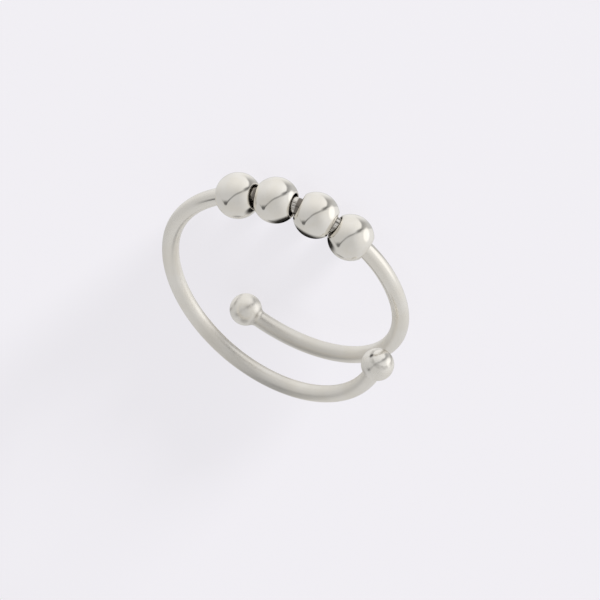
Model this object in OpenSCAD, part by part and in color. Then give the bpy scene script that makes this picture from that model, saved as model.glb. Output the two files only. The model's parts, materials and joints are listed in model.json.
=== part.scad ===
// Spinner ring: an open hoop of round wire whose two ends pass each other,
// each with a ball soldered on, and four smooth round beads that turn on the wire.
// It lies on its side, on its two lowest beads and its lower end ball.
// Turns are in degrees from the front, seen from above.

/* [Hoop] */
// Inside diameter of the hoop
inner_d = 17.3; // [15:0.1:21]
// Diameter of the round wire
wire_d = 1.3; // [1:0.05:1.6]

/* [Upper arm] */
// Turn, anticlockwise, at which the upper arm leaves the plane of the hoop
upper_start = 82; // [70:1:110]
// Slope at which the upper arm rises out of that plane
upper_tilt = 10.5; // [8:0.25:14]
// Turn, anticlockwise, to the upper end ball
upper_reach = 264; // [240:1:275]

/* [Lower arm] */
// Turn, clockwise, at which the lower arm leaves the plane of the hoop
lower_start = 55; // [45:1:70]
// Slope at which the lower arm drops out of that plane
lower_tilt = 9.25; // [8:0.25:14]
// Turn, clockwise, to the lower end ball
lower_reach = 203; // [190:1:212]

/* [End balls] */
// Diameter of each end ball
end_ball_d = 2.5; // [2:0.05:3]
// Radius of the hollow solder neck between a ball and the wire
neck_r = 0.5; // [0.3:0.05:0.8]

/* [Beads] */
// Diameter of each bead
bead_d = 3.5; // [3.2:0.05:4]
// Play all round between the wire and a bead's bore
bore_play = 0.22; // [0.16:0.01:0.3]
// Play left on the side where a bead hangs on the wire
hang_play = 0.12; // [0.1:0.01:0.16]
// Play left where the mouth of a bead that leans as far as it can comes closest to the wire
lean_play = 0.05; // [0.04:0.01:0.08]
// Lean of beads 1 to 4 on the wire, anticlockwise, as a share of the most that the bore allows
bead_leans = [-0.75, -0.1, -0.6, 1];
// Radius of the rolled lip round each mouth of a bead's bore
lip_r = 0.1; // [0.06:0.02:0.2]
// Gap between the lips of neighbouring beads where they are closest
bead_gap = 0.06; // [0.04:0.02:0.3]

/* [Hidden] */
$fn = 96;

up = [0, 0, 1];
// The bead row faces the front
row_heading = 270;
silver = [0.78, 0.77, 0.75];
bright_silver = [0.86, 0.86, 0.85];

// Wire
wire_r = wire_d / 2;
hoop_r = inner_d / 2 + wire_r;
// The wire's stretches are fused in a ball that is wider than the wire by this hair
seam_swell = 0.002;

// Solder necks: a hollow fillet that touches both the ball and the wire
end_ball_r = end_ball_d / 2;
neck_rho = wire_r + neck_r;
neck_len = sqrt((end_ball_r + neck_r) ^ 2 - neck_rho ^ 2);
neck_share = end_ball_r / (end_ball_r + neck_r);
neck_turn = atan(neck_len / hoop_r);
upper_sweep = upper_reach - upper_start - neck_turn;
lower_sweep = lower_reach - lower_start - neck_turn;

// Beads: a ball whose surface rolls over a round lip into the bore
bead_r = bead_d / 2;
bore_r = wire_r + bore_play;
lip_rho = bore_r + lip_r;
lip_reach = bead_r - lip_r;
lip_h = sqrt(lip_reach ^ 2 - lip_rho ^ 2);
bead_hang = bore_play - hang_play;
bead_row_r = hoop_r - bead_hang;
// Share by which a bead's cutting outline reaches past its ball
beyond = 2;

// A bead leans until a lip is lean_play from the wire, outside or inside the hoop
lean_span = 2 * bead_row_r * lip_reach;
lean_square = bead_row_r ^ 2 + lip_reach ^ 2;
lean_outside = acos(((hoop_r + wire_r + lip_r + lean_play) ^ 2 - lean_square) / lean_span);
lean_inside = acos((lean_square - (hoop_r - wire_r - lip_r - lean_play) ^ 2) / lean_span);
lean_limit = min(lean_outside, lean_inside) - acos(lip_rho / lip_reach);
leans = bead_leans * lean_limit;

// Centre of a leaning bead's inner lip on the side of a neighbour, as distances from the hoop's
// axis along the bead's turn and across it: side 1 is anticlockwise of the bead, side -1 clockwise
function lip_place(lean, side) = [
    bead_row_r - side * lip_h * sin(lean) - lip_rho * cos(lean),
    lip_h * cos(lean) - side * lip_rho * sin(lean)
];
function lip_turn(place) = atan(place[1] / place[0]);

// Turn between two neighbours whose lips are bead_gap apart at the inner side of the hoop
lip_spacing = 2 * lip_r + bead_gap;
function pitch(a, b) =
    lip_turn(a) + lip_turn(b)
    + acos((norm(a) ^ 2 + norm(b) ^ 2 - lip_spacing ^ 2) / (2 * norm(a) * norm(b)));
pitches = [for (i = [0 : 2]) pitch(lip_place(leans[i], -1), lip_place(leans[i + 1], 1))];

// Beads 1 and 2 lie towards the upper arm, beads 3 and 4 towards the lower arm
half_middle = pitches[1] / 2;
bead_turns = [half_middle + pitches[0], half_middle, -half_middle, -half_middle - pitches[2]];

function unit(v) = v / norm(v);
function outward(turn) = [cos(row_heading + turn), sin(row_heading + turn), 0];
function along(turn) = [-sin(row_heading + turn), cos(row_heading + turn), 0];
function bead_centre(turn) = bead_row_r * outward(turn);

// Outward direction at the start of an arm, once its plane has tilted
function arm_outward(start, tilt) = outward(start) * cos(tilt) - up * sin(tilt);
// Point of an arm at a sweep past its start, then straight on by a tail
function arm_point(start, tilt, way, sweep, tail) =
    hoop_r * outward(start)
    - hoop_r * (1 - cos(sweep)) * arm_outward(start, tilt)
    + way * hoop_r * sin(sweep) * along(start)
    + tail * (way * cos(sweep) * along(start) - sin(sweep) * arm_outward(start, tilt));

upper_ball_centre = arm_point(upper_start, upper_tilt, 1, upper_sweep, neck_len);
lower_ball_centre = arm_point(-lower_start, -lower_tilt, -1, lower_sweep, neck_len);

// Rest on a flat surface: the plane that touches beads 3 and 4 and the lower ball from below
foot_side = unit(bead_centre(bead_turns[2]) - bead_centre(bead_turns[3]));
foot_span = lower_ball_centre - bead_centre(bead_turns[3]);
foot_reach = foot_span - foot_side * (foot_span * foot_side);
foot_lean = asin((end_ball_r - bead_r) / norm(foot_reach));
foot_across = unit(cross(foot_reach, foot_side));
rest_up = sin(foot_lean) * unit(foot_reach) + cos(foot_lean) * foot_across * sign(foot_across.z);
rest_axis = unit(cross(rest_up, up));
rest_angle = acos(rest_up.z);
rest_floor = rest_up * bead_centre(bead_turns[3]) - bead_r;

// A point after the hoop has been laid down
function laid(p) =
    p * cos(rest_angle)
    + cross(rest_axis, p) * sin(rest_angle)
    + rest_axis * (rest_axis * p) * (1 - cos(rest_angle));

// Outline of the laid ring, to centre it over the origin, with a point of the wire at each degree
step = 1;
wire_path = [
    for (turn = [-lower_start : step : upper_start]) laid(hoop_r * outward(turn)),
    for (sweep = [0 : step : upper_sweep]) laid(arm_point(upper_start, upper_tilt, 1, sweep, 0)),
    for (sweep = [0 : step : lower_sweep]) laid(arm_point(-lower_start, -lower_tilt, -1, sweep, 0))
];
ball_centres = [laid(upper_ball_centre), laid(lower_ball_centre)];
bead_centres = [for (turn = bead_turns) laid(bead_centre(turn))];

function low_edge(axis) = min(
    min([for (p = wire_path) p[axis]]) - wire_r,
    min([for (p = ball_centres) p[axis]]) - end_ball_r,
    min([for (p = bead_centres) p[axis]]) - bead_r);
function high_edge(axis) = max(
    max([for (p = wire_path) p[axis]]) + wire_r,
    max([for (p = ball_centres) p[axis]]) + end_ball_r,
    max([for (p = bead_centres) p[axis]]) + bead_r);

rest_x = (low_edge(0) + high_edge(0)) / 2;
rest_y = (low_edge(1) + high_edge(1)) / 2;

// Everything is modelled in the plane of the hoop and laid down by this
module laid_down() {
    translate([-rest_x, -rest_y, -rest_floor])
        rotate(a = rest_angle, v = rest_axis)
            children();
}

// A stretch of the hoop's wire about the vertical axis, anticlockwise from +X
module wire_arc(sweep) {
    rotate_extrude(angle = sweep)
        translate([hoop_r, 0])
            circle(r = wire_r);
}

module seam() {
    sphere(r = wire_r + seam_swell);
}

// Ball with its neck, along +Z from the end face of the wire
module end_ball() {
    seam();
    translate([0, 0, neck_len])
        sphere(r = end_ball_r);
    rotate_extrude()
        difference() {
            polygon([
                [0, 0],
                [neck_rho, 0],
                [neck_rho * neck_share, neck_len * (1 - neck_share)],
                [0, neck_len]
            ]);
            translate([neck_rho, 0])
                circle(r = neck_r);
        }
}

// Arm from its start to its ball: way 1 runs anticlockwise, way -1 clockwise
module arm(start, tilt, way, sweep) {
    rotate([0, 0, row_heading + start])
        translate([hoop_r, 0, 0])
            rotate([0, tilt, 0])
                translate([-hoop_r, 0, 0])
                    mirror([0, way < 0 ? 1 : 0, 0]) {
                        translate([hoop_r, 0, 0])
                            seam();
                        wire_arc(sweep);
                        rotate([0, 0, sweep])
                            translate([hoop_r, 0, 0])
                                rotate([-90, 0, 0])
                                    end_ball();
                    }
}

// Bead about the Z axis, with its bore
module bead_form() {
    rotate_extrude()
        union() {
            intersection() {
                circle(r = bead_r);
                polygon([
                    [bore_r, -lip_h],
                    [lip_rho, -lip_h],
                    beyond * [lip_rho, -lip_h],
                    beyond * [lip_rho, lip_h],
                    [lip_rho, lip_h],
                    [bore_r, lip_h]
                ]);
            }
            for (side = [-1, 1])
                translate([lip_rho, side * lip_h])
                    circle(r = lip_r);
        }
}

module bead(turn, lean) {
    color(bright_silver)
        laid_down()
            rotate([0, 0, row_heading + turn])
                translate([bead_row_r, 0, 0])
                    rotate([0, 0, lean])
                        rotate([90, 0, 0])
                            bead_form();
}

module band() {
    color(silver)
        laid_down() {
            rotate([0, 0, row_heading - lower_start])
                wire_arc(lower_start + upper_start);
            arm(upper_start, upper_tilt, 1, upper_sweep);
            arm(-lower_start, -lower_tilt, -1, lower_sweep);
        }
}

band();
bead(bead_turns[0], leans[0]);  // bead_1
bead(bead_turns[1], leans[1]);  // bead_2
bead(bead_turns[2], leans[2]);  // bead_3
bead(bead_turns[3], leans[3]);  // bead_4
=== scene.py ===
"""Spinner ring of silver: an open hoop of wire with two end balls, and four beads that turn on it."""
import json
import math

import bpy
import numpy as np
from mathutils import Matrix, Vector


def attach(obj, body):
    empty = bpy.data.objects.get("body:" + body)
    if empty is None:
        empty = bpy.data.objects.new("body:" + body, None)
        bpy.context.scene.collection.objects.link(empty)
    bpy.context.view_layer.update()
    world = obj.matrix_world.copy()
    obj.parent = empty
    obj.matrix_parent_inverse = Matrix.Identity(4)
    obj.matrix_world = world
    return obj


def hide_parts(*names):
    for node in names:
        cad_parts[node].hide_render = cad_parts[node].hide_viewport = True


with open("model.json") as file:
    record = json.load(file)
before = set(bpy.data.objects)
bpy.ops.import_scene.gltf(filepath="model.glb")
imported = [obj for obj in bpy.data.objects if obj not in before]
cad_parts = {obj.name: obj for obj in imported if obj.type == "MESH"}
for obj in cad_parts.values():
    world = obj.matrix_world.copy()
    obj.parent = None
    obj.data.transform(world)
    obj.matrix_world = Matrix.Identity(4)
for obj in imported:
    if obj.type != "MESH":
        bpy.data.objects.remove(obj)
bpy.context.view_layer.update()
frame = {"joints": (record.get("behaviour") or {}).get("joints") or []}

MM = 0.001

# Sizes of the ring, in mm and degrees, as in the solids
HOOP_R = 9.3
WIRE_R = 0.65
UPPER = {"start": 82.0, "tilt": 10.5, "reach": 264.0, "way": 1}
LOWER = {"start": -55.0, "tilt": -9.25, "reach": 203.0, "way": -1}
BALL_R = 1.25
NECK_R = 0.5
BEAD_R = 1.75
BORE_R = 0.87
LIP_R = 0.1


def unit(v):
    return v / np.linalg.norm(v)


def turns(count):
    """Angles spread evenly over a full turn."""
    return np.radians(np.arange(count) * 360 / count)


def add_object(name, data):
    obj = bpy.data.objects.new(name, data)
    bpy.context.scene.collection.objects.link(obj)
    return obj


def put_facing(obj, place, way):
    """Put an object at a place in mm, with its own Z axis along a direction."""
    turn = Vector(way).to_track_quat("Z", "Y").to_matrix().to_4x4()
    obj.matrix_world = Matrix.Translation(place * MM) @ turn


# Camera, as fitted to the photograph, in mm. It looks at the hoop's centre
IMAGE_PX = 600
PX_PER_MM = 13.242
CAMERA_DISTANCE = 454.5
SENSOR = 36.0
CLIP = (0.01, 20.0)
LOOK_AT = np.array([0.23774, 0.34841, 2.86943])
LOOK_AT_PX = np.array([284.59, 282.72])
# Directions of the picture, fixed in the part's frame
AWAY = unit(np.array([0.18233, 0.84828, -0.49716]))
DOWN = unit(np.cross(AWAY, np.array([-0.90701, -0.05011, -0.41813])))
RIGHT = np.cross(DOWN, AWAY)
TOWARD = -AWAY


def make_camera():
    aside = (IMAGE_PX / 2 - LOOK_AT_PX) / PX_PER_MM
    place = LOOK_AT - CAMERA_DISTANCE * AWAY + aside[0] * RIGHT + aside[1] * DOWN
    data = bpy.data.cameras.new("camera")
    data.sensor_width = SENSOR
    data.lens = PX_PER_MM * CAMERA_DISTANCE * SENSOR / IMAGE_PX
    data.clip_start, data.clip_end = CLIP
    cam = add_object("camera", data)
    turn = np.stack([RIGHT, -DOWN, TOWARD], axis=1)
    cam.matrix_world = Matrix.Translation(place * MM) @ Matrix(turn.tolist()).to_4x4()
    bpy.context.scene.camera = cam


make_camera()


# The hoop's own frame, from where the beads turn
spins = {j["child"]: j for j in frame["joints"]}
bead_names = sorted(spins)
bead_at = {n: np.array(spins[n]["pos_m"]) / MM for n in bead_names}
bead_axis = {n: unit(np.array(spins[n]["axis"])) for n in bead_names}
first, last = bead_names[0], bead_names[-1]
hoop_up = unit(np.cross(bead_axis[last], bead_axis[first]))
hoop_centre = LOOK_AT
row_middle = sum(unit(bead_at[n] - hoop_centre) for n in bead_names[1:3])
hoop_y = -unit(row_middle - (row_middle @ hoop_up) * hoop_up)
hoop_x = np.cross(hoop_y, hoop_up)


def outward(turn):
    a = math.radians(turn)
    return math.sin(a) * hoop_x - math.cos(a) * hoop_y


def along(turn):
    a = math.radians(turn)
    return math.cos(a) * hoop_x + math.sin(a) * hoop_y


# Meshes
def grid_mesh(name, rings, closed_along, extra, extra_name):
    """A smooth mesh from rings of points (ring, around, xyz) in mm, with an extra vector at each point.

    It has a pole at each end unless it closes on itself.
    """
    count, around = rings.shape[:2]
    verts = rings.reshape(-1, 3)
    marks = extra.reshape(-1, 3)
    faces = []
    spans = count if closed_along else count - 1
    for i in range(spans):
        a, b = i * around, ((i + 1) % count) * around
        for j in range(around):
            k = (j + 1) % around
            faces.append((a + j, a + k, b + k, b + j))
    if not closed_along:
        for ring, order in ((0, 1), (count - 1, -1)):
            pole = len(verts)
            verts = np.vstack([verts, rings[ring].mean(axis=0)])
            marks = np.vstack([marks, extra[ring].mean(axis=0)])
            for j in range(around):
                k = (j + 1) % around
                trio = (pole, ring * around + k, ring * around + j)
                faces.append(trio[::order])
    mesh = bpy.data.meshes.new(name)
    mesh.from_pydata((verts * MM).tolist(), [], faces)
    mesh.polygons.foreach_set("use_smooth", [True] * len(mesh.polygons))
    layer = mesh.attributes.new(extra_name, "FLOAT_VECTOR", "POINT")
    layer.data.foreach_set("vector", marks.astype(np.float32).ravel())
    mesh.validate()
    mesh.update()
    return add_object(name, mesh)


def flat_sheet(name, corners):
    """A sheet of one face, from its corners in metres."""
    mesh = bpy.data.meshes.new(name)
    mesh.from_pydata(corners, [], [range(len(corners))])
    return add_object(name, mesh)


NECK_RHO = WIRE_R + NECK_R
NECK_LEN = math.sqrt((BALL_R + NECK_R) ** 2 - NECK_RHO ** 2)
NECK_END = NECK_LEN * NECK_R / (BALL_R + NECK_R)
NECK_TURN = math.degrees(math.atan(NECK_LEN / HOOP_R))

# Fineness of the meshes: turn between the wire's rings, turn from an end ball's last ring to its pole,
# points round a ring, and rings of each part
WIRE_STEP = 0.9
POLE_GAP = 1.5
WIRE_AROUND = 64
NECK_RINGS = 12
BALL_RINGS = 44
BEAD_AROUND = 112
BEAD_RINGS = 61
LIP_RINGS = 17
BORE_RINGS = 13


def arm_path(arm):
    """Points and directions of an arm past its start, and the radius there, out to its ball's pole."""
    start, way = arm["start"], arm["way"]
    tilt = math.radians(arm["tilt"])
    arm_out = outward(start) * math.cos(tilt) - hoop_up * math.sin(tilt)
    ahead = way * along(start)
    sweep = arm["reach"] - abs(start) - NECK_TURN
    rows = []
    for s in np.radians(np.linspace(0, sweep, round(sweep / WIRE_STEP) + 1))[1:]:
        at = HOOP_R * outward(start) - HOOP_R * (1 - math.cos(s)) * arm_out
        at = at + HOOP_R * math.sin(s) * ahead
        way_on = math.cos(s) * ahead - math.sin(s) * arm_out
        rows.append((at, way_on, WIRE_R))
    end, way_on, _ = rows[-1]
    for h in np.linspace(0, NECK_END, NECK_RINGS)[1:]:
        rows.append((end + h * way_on, way_on, NECK_RHO - math.sqrt(NECK_R ** 2 - h ** 2)))
    first_turn = math.acos((NECK_END - NECK_LEN) / BALL_R)
    for a in np.linspace(first_turn, math.radians(POLE_GAP), BALL_RINGS)[1:]:
        rows.append((end + (NECK_LEN + BALL_R * math.cos(a)) * way_on, way_on, BALL_R * math.sin(a)))
    return rows


def make_band():
    """The wire with its necks and balls. It keeps where each point is on the wire pulled straight."""
    front = round((UPPER["start"] - LOWER["start"]) / WIRE_STEP)
    rows = [
        (HOOP_R * outward(t), along(t), WIRE_R)
        for t in np.linspace(LOWER["start"], UPPER["start"], front + 1)
    ]
    tail = [(at, -way_on, r) for at, way_on, r in arm_path(LOWER)]
    rows = tail[::-1] + rows + arm_path(UPPER)
    row_middle_at = len(tail) + round(-LOWER["start"] / WIRE_STEP)
    spread = turns(WIRE_AROUND)
    side = hoop_up
    length = 0.0
    rings, straight = [], []
    before = rows[0][0]
    for at, ahead, r in rows:
        side = unit(side - (side @ ahead) * ahead)
        other = np.cross(ahead, side)
        length += np.linalg.norm(at - before)
        before = at
        circle = np.cos(spread)[:, None] * side + np.sin(spread)[:, None] * other
        rings.append(hoop_centre + at + r * circle)
        place = [np.full(WIRE_AROUND, length), r * np.cos(spread), r * np.sin(spread)]
        straight.append(np.stack(place, axis=1))
    straight = np.array(straight)
    straight[:, :, 0] -= straight[row_middle_at, 0, 0]
    return grid_mesh("band_wire", np.array(rings), False, straight, "straight")


def make_bead(name):
    """A bead with its rolled lips and bore. It keeps where each point is about the bead's own axis."""
    at, axis = bead_at[name], bead_axis[name]
    lip_rho = BORE_R + LIP_R
    lip_h = math.sqrt((BEAD_R - LIP_R) ** 2 - lip_rho ** 2)
    lip_turn = math.atan2(lip_h, lip_rho)
    outline = [
        (BEAD_R * math.cos(a), BEAD_R * math.sin(a))
        for a in np.linspace(-lip_turn, lip_turn, BEAD_RINGS)[:-1]
    ]
    for a in np.linspace(lip_turn, math.pi, LIP_RINGS):
        outline.append((lip_rho + LIP_R * math.cos(a), lip_h + LIP_R * math.sin(a)))
    outline += [(BORE_R, h) for h in np.linspace(lip_h, -lip_h, BORE_RINGS)[1:-1]]
    for a in np.linspace(math.pi, 2 * math.pi - lip_turn, LIP_RINGS)[:-1]:
        outline.append((lip_rho + LIP_R * math.cos(a), -lip_h + LIP_R * math.sin(a)))
    side = unit(hoop_up - (hoop_up @ axis) * axis)
    other = np.cross(axis, side)
    spread = turns(BEAD_AROUND)
    circle = np.cos(spread)[:, None] * side + np.sin(spread)[:, None] * other
    flat = np.stack([np.cos(spread), np.sin(spread)], axis=1)
    rings = np.array([at + rho * circle + h * axis for rho, h in outline])
    turned = np.array([np.column_stack([rho * flat, np.full(BEAD_AROUND, h)]) for rho, h in outline])
    return grid_mesh(name + "_ball", rings, True, turned, "turned")


# Node graphs
class Graph:
    """Short calls for building a node tree: a value is a number, a tuple or another node's output."""

    def __init__(self, tree):
        self.tree = tree
        tree.nodes.clear()

    def node(self, kind, **settings):
        n = self.tree.nodes.new(kind)
        for key, value in settings.items():
            setattr(n, key, value)
        return n

    def feed(self, socket, value):
        if isinstance(value, bpy.types.NodeSocket):
            self.tree.links.new(value, socket)
        else:
            socket.default_value = value

    def math(self, op, *values):
        n = self.node("ShaderNodeMath", operation=op)
        for socket, value in zip(n.inputs, values):
            self.feed(socket, value)
        return n.outputs[0]

    def add(self, a, b):
        return self.math("ADD", a, b)

    def sub(self, a, b):
        return self.math("SUBTRACT", a, b)

    def mul(self, a, b):
        return self.math("MULTIPLY", a, b)

    def squares(self, a, b):
        """The sum of two squares."""
        return self.add(self.mul(a, a), self.mul(b, b))

    def dot(self, a, b):
        n = self.node("ShaderNodeVectorMath", operation="DOT_PRODUCT")
        self.feed(n.inputs[0], a)
        self.feed(n.inputs[1], tuple(b))
        return n.outputs["Value"]

    def scaled(self, vector, scale):
        n = self.node("ShaderNodeVectorMath", operation="MULTIPLY")
        self.feed(n.inputs[0], vector)
        self.feed(n.inputs[1], scale)
        return n.outputs[0]

    def ramp(self, value, low, high, to_low=0.0, to_high=1.0):
        """A smooth step of value from low to high."""
        n = self.node("ShaderNodeMapRange", interpolation_type="SMOOTHSTEP")
        self.feed(n.inputs["Value"], value)
        for key, v in (("From Min", low), ("From Max", high), ("To Min", to_low), ("To Max", to_high)):
            n.inputs[key].default_value = v
        return n.outputs[0]

    def span(self, value, low, rise, fall, high):
        """1 from rise to fall, and smoothly down to 0 at low and high."""
        return self.mul(self.ramp(value, low, rise), self.ramp(value, fall, high, 1.0, 0.0))

    def blend(self, share, a, b):
        """A number between a and b."""
        n = self.node("ShaderNodeMix", data_type="FLOAT")
        self.feed(n.inputs[0], share)
        self.feed(n.inputs[2], a)
        self.feed(n.inputs[3], b)
        return n.outputs[0]

    def tint(self, share, a, b):
        """A colour between a and b."""
        n = self.node("ShaderNodeMix", data_type="RGBA")
        self.feed(n.inputs[0], share)
        self.feed(n.inputs[6], a)
        self.feed(n.inputs[7], b)
        return n.outputs[2]

    def noise(self, vector, scale, detail=2.0, roughness=0.5):
        n = self.node("ShaderNodeTexNoise")
        self.feed(n.inputs["Vector"], vector)
        for key, v in (("Scale", scale), ("Detail", detail), ("Roughness", roughness)):
            n.inputs[key].default_value = v
        return n.outputs[0]

    def hairlines(self, vector, stretch, width):
        """Fine scratches: thin bands of a stretched noise, 1 on a scratch and 0 beside it."""
        field = self.noise(self.scaled(vector, stretch), 1.0, 3.0, 0.6)
        return self.ramp(self.math("ABSOLUTE", self.sub(field, 0.5)), 0.0, width, 1.0, 0.0)

    def attribute(self, name):
        n = self.node("ShaderNodeAttribute", attribute_type="GEOMETRY", attribute_name=name)
        return n.outputs["Vector"]

    def xyz(self, vector):
        n = self.node("ShaderNodeSeparateXYZ")
        self.feed(n.inputs[0], vector)
        return n.outputs

    def curve(self, value, points):
        """A smooth curve through points; both of its axes run from -1 to 1."""
        n = self.node("ShaderNodeFloatCurve")
        curve = n.mapping.curves[0]
        spots = [((a + 1) / 2, (b + 1) / 2) for a, b in points]
        curve.points[0].location, curve.points[-1].location = spots[0], spots[-1]
        for spot in spots[1:-1]:
            curve.points.new(*spot)
        n.mapping.update()
        self.feed(n.inputs["Value"], self.math("MULTIPLY_ADD", value, 0.5, 0.5))
        return self.math("MULTIPLY_ADD", n.outputs[0], 2.0, -1.0)


def new_material(name):
    """An empty node material, its graph and the socket that takes its surface."""
    material = bpy.data.materials.new(name)
    material.use_nodes = True
    g = Graph(material.node_tree)
    out = g.node("ShaderNodeOutputMaterial")
    return material, g, out.inputs["Surface"]


# Silver
SILVER = (0.95, 0.925, 0.88, 1.0)
WARM_SILVER = (0.92, 0.885, 0.82, 1.0)
RUBBED_SILVER = (0.74, 0.70, 0.64, 1.0)
MOUTH_SILVER = (0.62, 0.57, 0.50, 1.0)
# The dark of residue in hollows; on the wire it also serves for painted shade
RESIDUE_AND_SHADE = (0.16, 0.14, 0.12, 1.0)
# Fine relief: how strongly it shows, and its depth in metres
WIRE_RELIEF = (0.32, 0.0000035)
BEAD_RELIEF = (0.4, 0.0000025)

# Places along the wire are in mm from the middle of the row of beads. The beads' run ends here
RUN_END = (3.9, 4.7)
# Painted shade: the wire is left bright only in the middle between two beads and darkened toward them. The
# first such middle, from one to the next, and how wide it is
GAP_SHIFT = 0.12
GAP_STEP = 3.34
GAP_EDGE = (0.07, 0.20)
# Both arms grow duller over one stretch, and carry painted shade, a little darker, over another
ARM_FADE = (7.0, 20.0)
ARM_ROUGHNESS = (0.15, 0.34)
ARM_SHADE_SPAN = (22.0, 25.0, 31.0, 33.0)
ARM_SHADE = 0.13
# Roughness that polishing took off the end balls, and off the upper one's far side besides
BALL_POLISH = 0.05
TIP_POLISH = 0.11
# Roughness that rubbing has given the last bead
LAST_BEAD_DULLED = 0.06


def metal(name):
    material, g, surface = new_material(name)
    shader = g.node("ShaderNodeBsdfPrincipled")
    shader.inputs["Metallic"].default_value = 1.0
    g.feed(surface, shader.outputs[0])
    return material, g, shader


def finish_metal(g, shader, colour, roughness, height, relief):
    bump = g.node("ShaderNodeBump")
    bump.inputs["Strength"].default_value, bump.inputs["Distance"].default_value = relief
    g.feed(bump.inputs["Height"], height)
    g.feed(shader.inputs["Base Color"], colour)
    g.feed(shader.inputs["Roughness"], roughness)
    g.feed(shader.inputs["Normal"], bump.outputs[0])


def wire_material():
    material, g, shader = metal("wire_silver")
    straight = g.attribute("straight")
    place = g.xyz(straight)
    # Broad cloudiness of handling, then drawing lines along the wire, then scratches across it
    cloud = g.noise(straight, 0.35, 3.0, 0.55)
    drawn = g.noise(g.scaled(straight, (0.22, 9.0, 9.0)), 1.0, 4.0, 0.6)
    across = g.hairlines(straight, (3.0, 0.8, 1.1), 0.012)
    lengthwise = g.hairlines(straight, (0.35, 4.0, 3.1), 0.010)
    worn = g.noise(straight, 1.6)
    scratch = g.mul(g.math("MAXIMUM", across, lengthwise), g.ramp(worn, 0.42, 0.62))
    tone = g.tint(g.ramp(cloud, 0.32, 0.68), SILVER, WARM_SILVER)
    tone = g.tint(g.mul(g.ramp(drawn, 0.45, 0.8), 0.10), tone, RUBBED_SILVER)
    # The beads rub the wire smooth where they run. Painted shade and dark reflection: there the wire is
    # darkened inside and beside the beads, bright only mid-gap, with dark streaks between glints
    off_middle = g.math("ABSOLUTE", place[0])
    run = g.ramp(off_middle, *RUN_END, 1.0, 0.0)
    off_gap = g.math("PINGPONG", g.math("ABSOLUTE", g.sub(place[0], GAP_SHIFT)), GAP_STEP / 2)
    shade_by_beads = g.ramp(off_gap, *GAP_EDGE, 0.0, 0.94)
    painted_bead_shade = g.math("MAXIMUM", shade_by_beads, g.ramp(drawn, 0.44, 0.60, 0.0, 0.8))
    tone = g.tint(g.mul(run, painted_bead_shade), tone, RESIDUE_AND_SHADE)
    # A little dark residue is left in the hollow of each neck
    rho = g.math("SQRT", g.squares(place[1], place[2]))
    hollow = g.span(rho, WIRE_R + 0.01, WIRE_R + 0.12, 0.8, 1.0)
    soot = g.mul(hollow, g.ramp(g.noise(straight, 2.4), 0.35, 0.7, 0.15, 0.5))
    tone = g.tint(soot, tone, RESIDUE_AND_SHADE)
    # Painted shade: the far stretch of both arms is a little darker, for the shaded floor that it would
    # mirror
    tone = g.tint(g.mul(g.span(off_middle, *ARM_SHADE_SPAN), ARM_SHADE), tone, RESIDUE_AND_SHADE)
    # Away from the beads the arms are rubbed duller
    rough = g.add(g.ramp(off_middle, *ARM_FADE, *ARM_ROUGHNESS), g.ramp(cloud, 0.3, 0.7, 0.0, 0.05))
    rough = g.add(rough, g.ramp(drawn, 0.3, 0.75, -0.012, 0.03))
    rough = g.sub(g.add(rough, g.mul(scratch, 0.12)), g.mul(run, 0.09))
    # The end balls were polished by themselves, the upper one best on its far side
    for arm, tip_polish in ((UPPER, TIP_POLISH), (LOWER, 0.0)):
        ball_at = arm["way"] * (HOOP_R * math.radians(arm["reach"] - NECK_TURN) + NECK_LEN)
        beyond = g.mul(g.sub(place[0], ball_at), arm["way"])
        ball = g.ramp(g.math("ABSOLUTE", beyond), 1.1, 1.8, 1.0, 0.0)
        polish = g.ramp(beyond, 0.1, 0.8, BALL_POLISH, BALL_POLISH + tip_polish)
        rough = g.sub(rough, g.mul(ball, polish))
    height = g.add(g.mul(drawn, 0.35), g.add(g.mul(scratch, -0.4), g.mul(worn, 0.9)))
    finish_metal(g, shader, tone, rough, height, WIRE_RELIEF)
    return material


def bead_material(name, dulled):
    material, g, shader = metal(name)
    turned = g.attribute("turned")
    place = g.xyz(turned)
    own = g.scaled(g.node("ShaderNodeTexCoord").outputs["Object"], (1 / MM, 1 / MM, 1 / MM))
    cloud = g.noise(own, 0.8, 3.0, 0.55)
    smudge = g.noise(own, 2.2, 4.0, 0.6)
    scuffs = [g.hairlines(own, stretch, 0.008) for stretch in ((2.6, 0.5, 0.7), (0.5, 0.6, 3.1))]
    scuff = g.mul(g.math("MAXIMUM", *scuffs), g.ramp(g.noise(own, 1.1), 0.45, 0.65))
    # Turning on the wire leaves faint rings near the mouths, and dark residue in the bore
    rho = g.math("SQRT", g.squares(place[0], place[1]))
    rings = g.noise(g.scaled(turned, (0.3, 0.3, 11.0)), 1.0, 3.0, 0.6)
    mouth = g.ramp(rho, BORE_R + 0.06, BORE_R + 0.34, 1.0, 0.0)
    bore = g.ramp(rho, BORE_R + 0.005, BORE_R + 0.10, 1.0, 0.0)
    tone = g.tint(g.ramp(cloud, 0.35, 0.65), SILVER, WARM_SILVER)
    tone = g.tint(g.mul(mouth, g.ramp(smudge, 0.35, 0.65, 0.1, 0.4)), tone, MOUTH_SILVER)
    tone = g.tint(g.mul(bore, 0.45), tone, RESIDUE_AND_SHADE)
    rough = g.add(g.ramp(smudge, 0.45, 0.75, 0.035 + dulled, 0.085 + dulled), g.mul(scuff, 0.10))
    rough = g.add(rough, g.mul(mouth, g.ramp(rings, 0.4, 0.7, 0.0, 0.12)))
    rough = g.add(rough, g.mul(bore, 0.25))
    height = g.add(g.mul(scuff, -0.4), g.add(g.mul(cloud, 0.8), g.mul(g.mul(rings, mouth), 0.6)))
    finish_metal(g, shader, tone, rough, height, BEAD_RELIEF)
    return material


# The ring's pieces
wire_silver = wire_material()
bead_silver = bead_material("bead_silver", 0.0)
last_bead_silver = bead_material("last_bead_silver", LAST_BEAD_DULLED)

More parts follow.
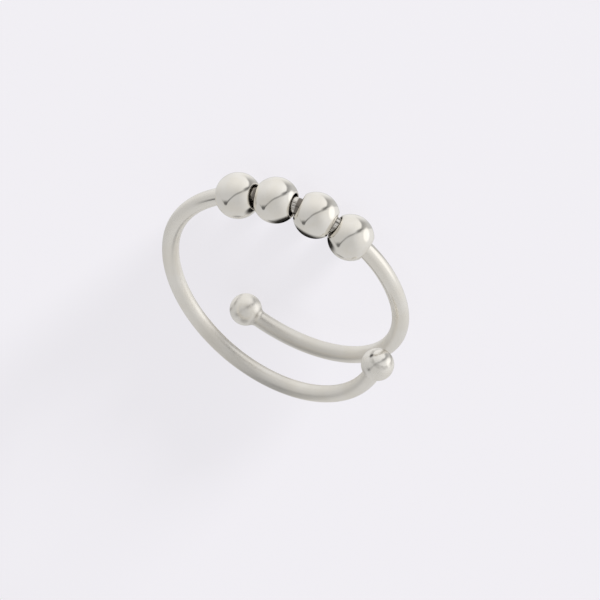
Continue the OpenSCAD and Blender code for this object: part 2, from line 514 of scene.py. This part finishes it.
band = make_band()
band.data.materials.append(wire_silver)
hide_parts("band")
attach(band, "band")

for name in bead_names:
    bead = make_bead(name)
    bead.data.materials.append(last_bead_silver if name == last else bead_silver)
    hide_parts(name)
    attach(bead, name)


# Floor: a pale sheet, lit mostly from within so that shadows on it stay faint
FLOOR_REACH = 4.0
FLOOR_PALE = (0.22, 0.215, 0.228, 1.0)
FLOOR_GLOW = (0.686, 0.674, 0.704, 1.0)


def make_floor():
    corners = [(FLOOR_REACH * a, FLOOR_REACH * b, 0) for a, b in ((-1, -1), (1, -1), (1, 1), (-1, 1))]
    floor = flat_sheet("floor", corners)
    material, g, surface = new_material("floor_paper")
    shader = g.node("ShaderNodeBsdfPrincipled")
    shader.inputs["Base Color"].default_value = FLOOR_PALE
    shader.inputs["Roughness"].default_value = 0.9
    shader.inputs["Specular IOR Level"].default_value = 0.1
    shader.inputs["Emission Color"].default_value = FLOOR_GLOW
    shader.inputs["Emission Strength"].default_value = 1.0
    g.feed(surface, shader.outputs[0])
    floor.data.materials.append(material)
    floor.visible_glossy = False


make_floor()

# Cards: dark rounds that only the silver mirrors, painted dark reflections for the dark rims that give it
# form
CARD_BLACK = (0.006, 0.0056, 0.0052, 1.0)
CARD_SIDES = 48
# The part of a card's radius that is even, before it fades out
CARD_EVEN = 0.4


def make_card(name, faces, offset, reach, shade):
    """A soft-edged card that faces a place, from an offset to its right, below it and behind it, in mm."""
    right, down, away = offset
    place = faces + right * RIGHT + down * DOWN + away * AWAY
    rim = [(reach * MM * math.cos(a), reach * MM * math.sin(a), 0) for a in turns(CARD_SIDES)]
    card = flat_sheet(name, rim)
    put_facing(card, place, faces - place)
    material, g, surface = new_material(name + "_card")
    off = g.node("ShaderNodeVectorMath", operation="LENGTH")
    g.feed(off.inputs[0], g.node("ShaderNodeTexCoord").outputs["Object"])
    black = g.node("ShaderNodeBsdfDiffuse")
    black.inputs["Color"].default_value = CARD_BLACK
    clear = g.node("ShaderNodeBsdfTransparent")
    mix = g.node("ShaderNodeMixShader")
    fade = g.ramp(off.outputs["Value"], CARD_EVEN * reach * MM, reach * MM, 1.0 - shade, 1.0)
    for socket, value in zip(mix.inputs, (fade, black.outputs[0], clear.outputs[0])):
        g.feed(socket, value)
    g.feed(surface, mix.outputs[0])
    card.data.materials.append(material)
    card.visible_camera = False
    card.visible_diffuse = False
    card.visible_shadow = False
    card.visible_transmission = False


# One card stands inside the hoop behind the beads, and one beside the arms' far side, which rises this
# far. The arms' card stands in for the shaded floor that the arms would mirror
ARMS_RISE = 1.9
beads_middle = sum(bead_at[n] for n in bead_names[1:3]) / 2
arms_far = hoop_centre + HOOP_R * outward(180) + ARMS_RISE * hoop_up
make_card("flag_beads", beads_middle, (0.0, 3.1, 2.3), reach=3.3, shade=1.0)
make_card("flag_arms", arms_far, (-2.6, 5.2, 1.5), reach=5.5, shade=0.40)


# Studio: what the polished silver mirrors. A place (x, y) is where a mirror ball shows it from the front,
# in ball radii, x to the right and y down
BACKDROP = (0.88, 0.863, 0.905, 1.0)
MIRRORED_TINT = (1.0, 0.995, 0.985)
# Light levels: of both sheets where they meet, of the lamp, and straight behind the ball
SHEET_LEVEL = 0.565
LAMP_LEVEL = 1.12
BEHIND_LEVEL = 0.55
# The seam's y for each x, and the x of the upper sheet's right edge for each y
SEAM_LINE = [
    (-1.0, -0.25), (-0.80, 0.02), (-0.66, 0.22), (-0.52, 0.38), (-0.43, 0.25), (-0.31, 0.13),
    (-0.11, -0.03), (0.14, -0.15), (0.33, -0.26), (0.44, -0.30), (0.60, -0.34), (1.0, -0.40),
]
SHEET_EDGE = [
    (-1.0, -0.1), (-0.80, 0.28), (-0.67, 0.39), (-0.56, 0.45),
    (-0.40, 0.44), (-0.26, 0.35), (0.0, 0.3), (1.0, 0.3),
]
# The dark parts of the seam: where they rise and fall across it or along it, and how dark they are
THIN_SPAN = (-0.74, -0.55, 0.30, 0.44)
NOTCH_SPAN = (-0.66, -0.58, -0.44, -0.32)
NOTCH_DEPTH = 0.78
WEDGE_AT = 0.35
WEDGE_SPAN = (-0.12, -0.01, 0.02, 0.13)
WEDGE_DEPTH = 0.70
# The lamp's oval and the glow round it: middle and reach
OVAL_AT = (0.66, -0.11)
OVAL_REACH = (0.15, 0.33)
GLOW_AT = (0.67, -0.1)
GLOW_REACH = (1.0, 1.25)
GLOW_STRENGTH = 0.20


def squared_off(g, x, y, middle, reach):
    """The square of how far the place (x, y) is from a middle, in reaches."""
    aside = g.math("MULTIPLY_ADD", x, 1 / reach[0], -middle[0] / reach[0])
    below = g.math("MULTIPLY_ADD", y, 1 / reach[1], -middle[1] / reach[1])
    return g.squares(aside, below)


def make_world():
    world = bpy.data.worlds.new("studio")
    bpy.context.scene.world = world
    world.use_nodes = True
    g = Graph(world.node_tree)
    ray = g.node("ShaderNodeTexCoord").outputs["Generated"]
    u, v, w = g.dot(ray, RIGHT), g.dot(ray, DOWN), g.dot(ray, TOWARD)
    spread = g.math("SQRT", g.math("MAXIMUM", g.math("MULTIPLY_ADD", w, 2.0, 2.0), 0.0001))
    x, y = g.math("DIVIDE", u, spread), g.math("DIVIDE", v, spread)

    # A pale sheet above the seam, brightest near its upper right end
    over = g.sub(g.curve(x, SEAM_LINE), y)
    above = g.ramp(over, -0.012, 0.012)
    upper = g.add(SHEET_LEVEL, g.mul(g.ramp(y, 0.05, -0.65), g.ramp(x, -0.6, 0.05, 0.20, 0.305)))
    # Past the sheet's right edge it is dark at first
    edge = g.sub(x, g.curve(y, SHEET_EDGE))
    past = g.mul(g.ramp(edge, -0.045, 0.045), g.ramp(y, -0.92, -0.60))
    upper = g.blend(past, upper, g.ramp(edge, 0.0, 0.30, 0.34, 0.55))
    # A greyer sheet below the seam, lit from the lamp's side
    lower = g.add(g.ramp(y, 0.2, 0.9, SHEET_LEVEL, 0.63), g.ramp(x, 0.0, 0.5, 0.0, 0.05))
    level = g.blend(above, lower, upper)
    # The lamp's glow lies on both, but not past the upper sheet's edge
    off_glow = g.math("SQRT", squared_off(g, x, y, GLOW_AT, GLOW_REACH))
    glow = g.ramp(off_glow, 0.15, 0.75, GLOW_STRENGTH, 0.0)
    level = g.add(level, g.mul(glow, g.sub(1.0, g.mul(past, above))))

    # The seam itself: a thin dark line, a notch in the upper sheet and a wedge across both
    thin = g.mul(g.ramp(g.math("ABSOLUTE", over), 0.005, 0.07, 1.0, 0.0), g.span(x, *THIN_SPAN))
    thin = g.mul(thin, g.ramp(x, -0.45, -0.30, 0.72, 0.48))
    notch = g.mul(g.ramp(y, 0.16, 0.32), g.mul(above, g.span(x, *NOTCH_SPAN)))
    off_wedge = g.math("ABSOLUTE", g.sub(x, WEDGE_AT))
    wedge = g.mul(g.ramp(off_wedge, 0.02, 0.22, 1.0, 0.0), g.span(over, *WEDGE_SPAN))
    dark = g.math("MAXIMUM", g.mul(wedge, WEDGE_DEPTH), g.mul(notch, NOTCH_DEPTH))
    level = g.mul(level, g.sub(1.0, g.math("MAXIMUM", thin, dark)))

    # The lamp's bright oval
    oval = squared_off(g, x, y, OVAL_AT, OVAL_REACH)
    level = g.blend(g.ramp(oval, 0.30, 1.15, 1.0, 0.0), level, LAMP_LEVEL)
    # All of the ball's rim shows the one direction behind it, which is even
    level = g.blend(g.ramp(w, -0.985, -0.90), BEHIND_LEVEL, level)

    mirrored = g.node("ShaderNodeCombineColor")
    for socket, share in zip(mirrored.inputs, MIRRORED_TINT):
        g.feed(socket, g.mul(level, share))
    seen = g.node("ShaderNodeLightPath").outputs["Is Camera Ray"]
    back = g.node("ShaderNodeBackground")
    g.feed(back.inputs["Color"], g.tint(seen, mirrored.outputs[0], BACKDROP))
    out = g.node("ShaderNodeOutputWorld")
    g.feed(out.inputs["Surface"], back.outputs[0])


make_world()


# One soft lamp, low over the floor at the picture's right, for the faint shadows
KEY_SIZE = (0.46, 0.18)
KEY_POWER = 440.0
# Where it is from the hoop's centre: distance in mm, and shares to the picture's right, toward the camera
# and up
KEY_DISTANCE = 3000
KEY_RIGHT = 6.4
KEY_TOWARD = 15.35
KEY_UP = 5.2


def make_lamp():
    data = bpy.data.lights.new("key", "AREA")
    data.shape = "ELLIPSE"
    data.size, data.size_y = KEY_SIZE
    data.energy = KEY_POWER
    key = add_object("key", data)
    way = unit(KEY_RIGHT * RIGHT + KEY_TOWARD * TOWARD - KEY_UP * DOWN)
    put_facing(key, LOOK_AT + KEY_DISTANCE * way, way)
    key.visible_glossy = False
    key.visible_camera = False


make_lamp()

bpy.context.scene.view_settings.view_transform = "Standard"
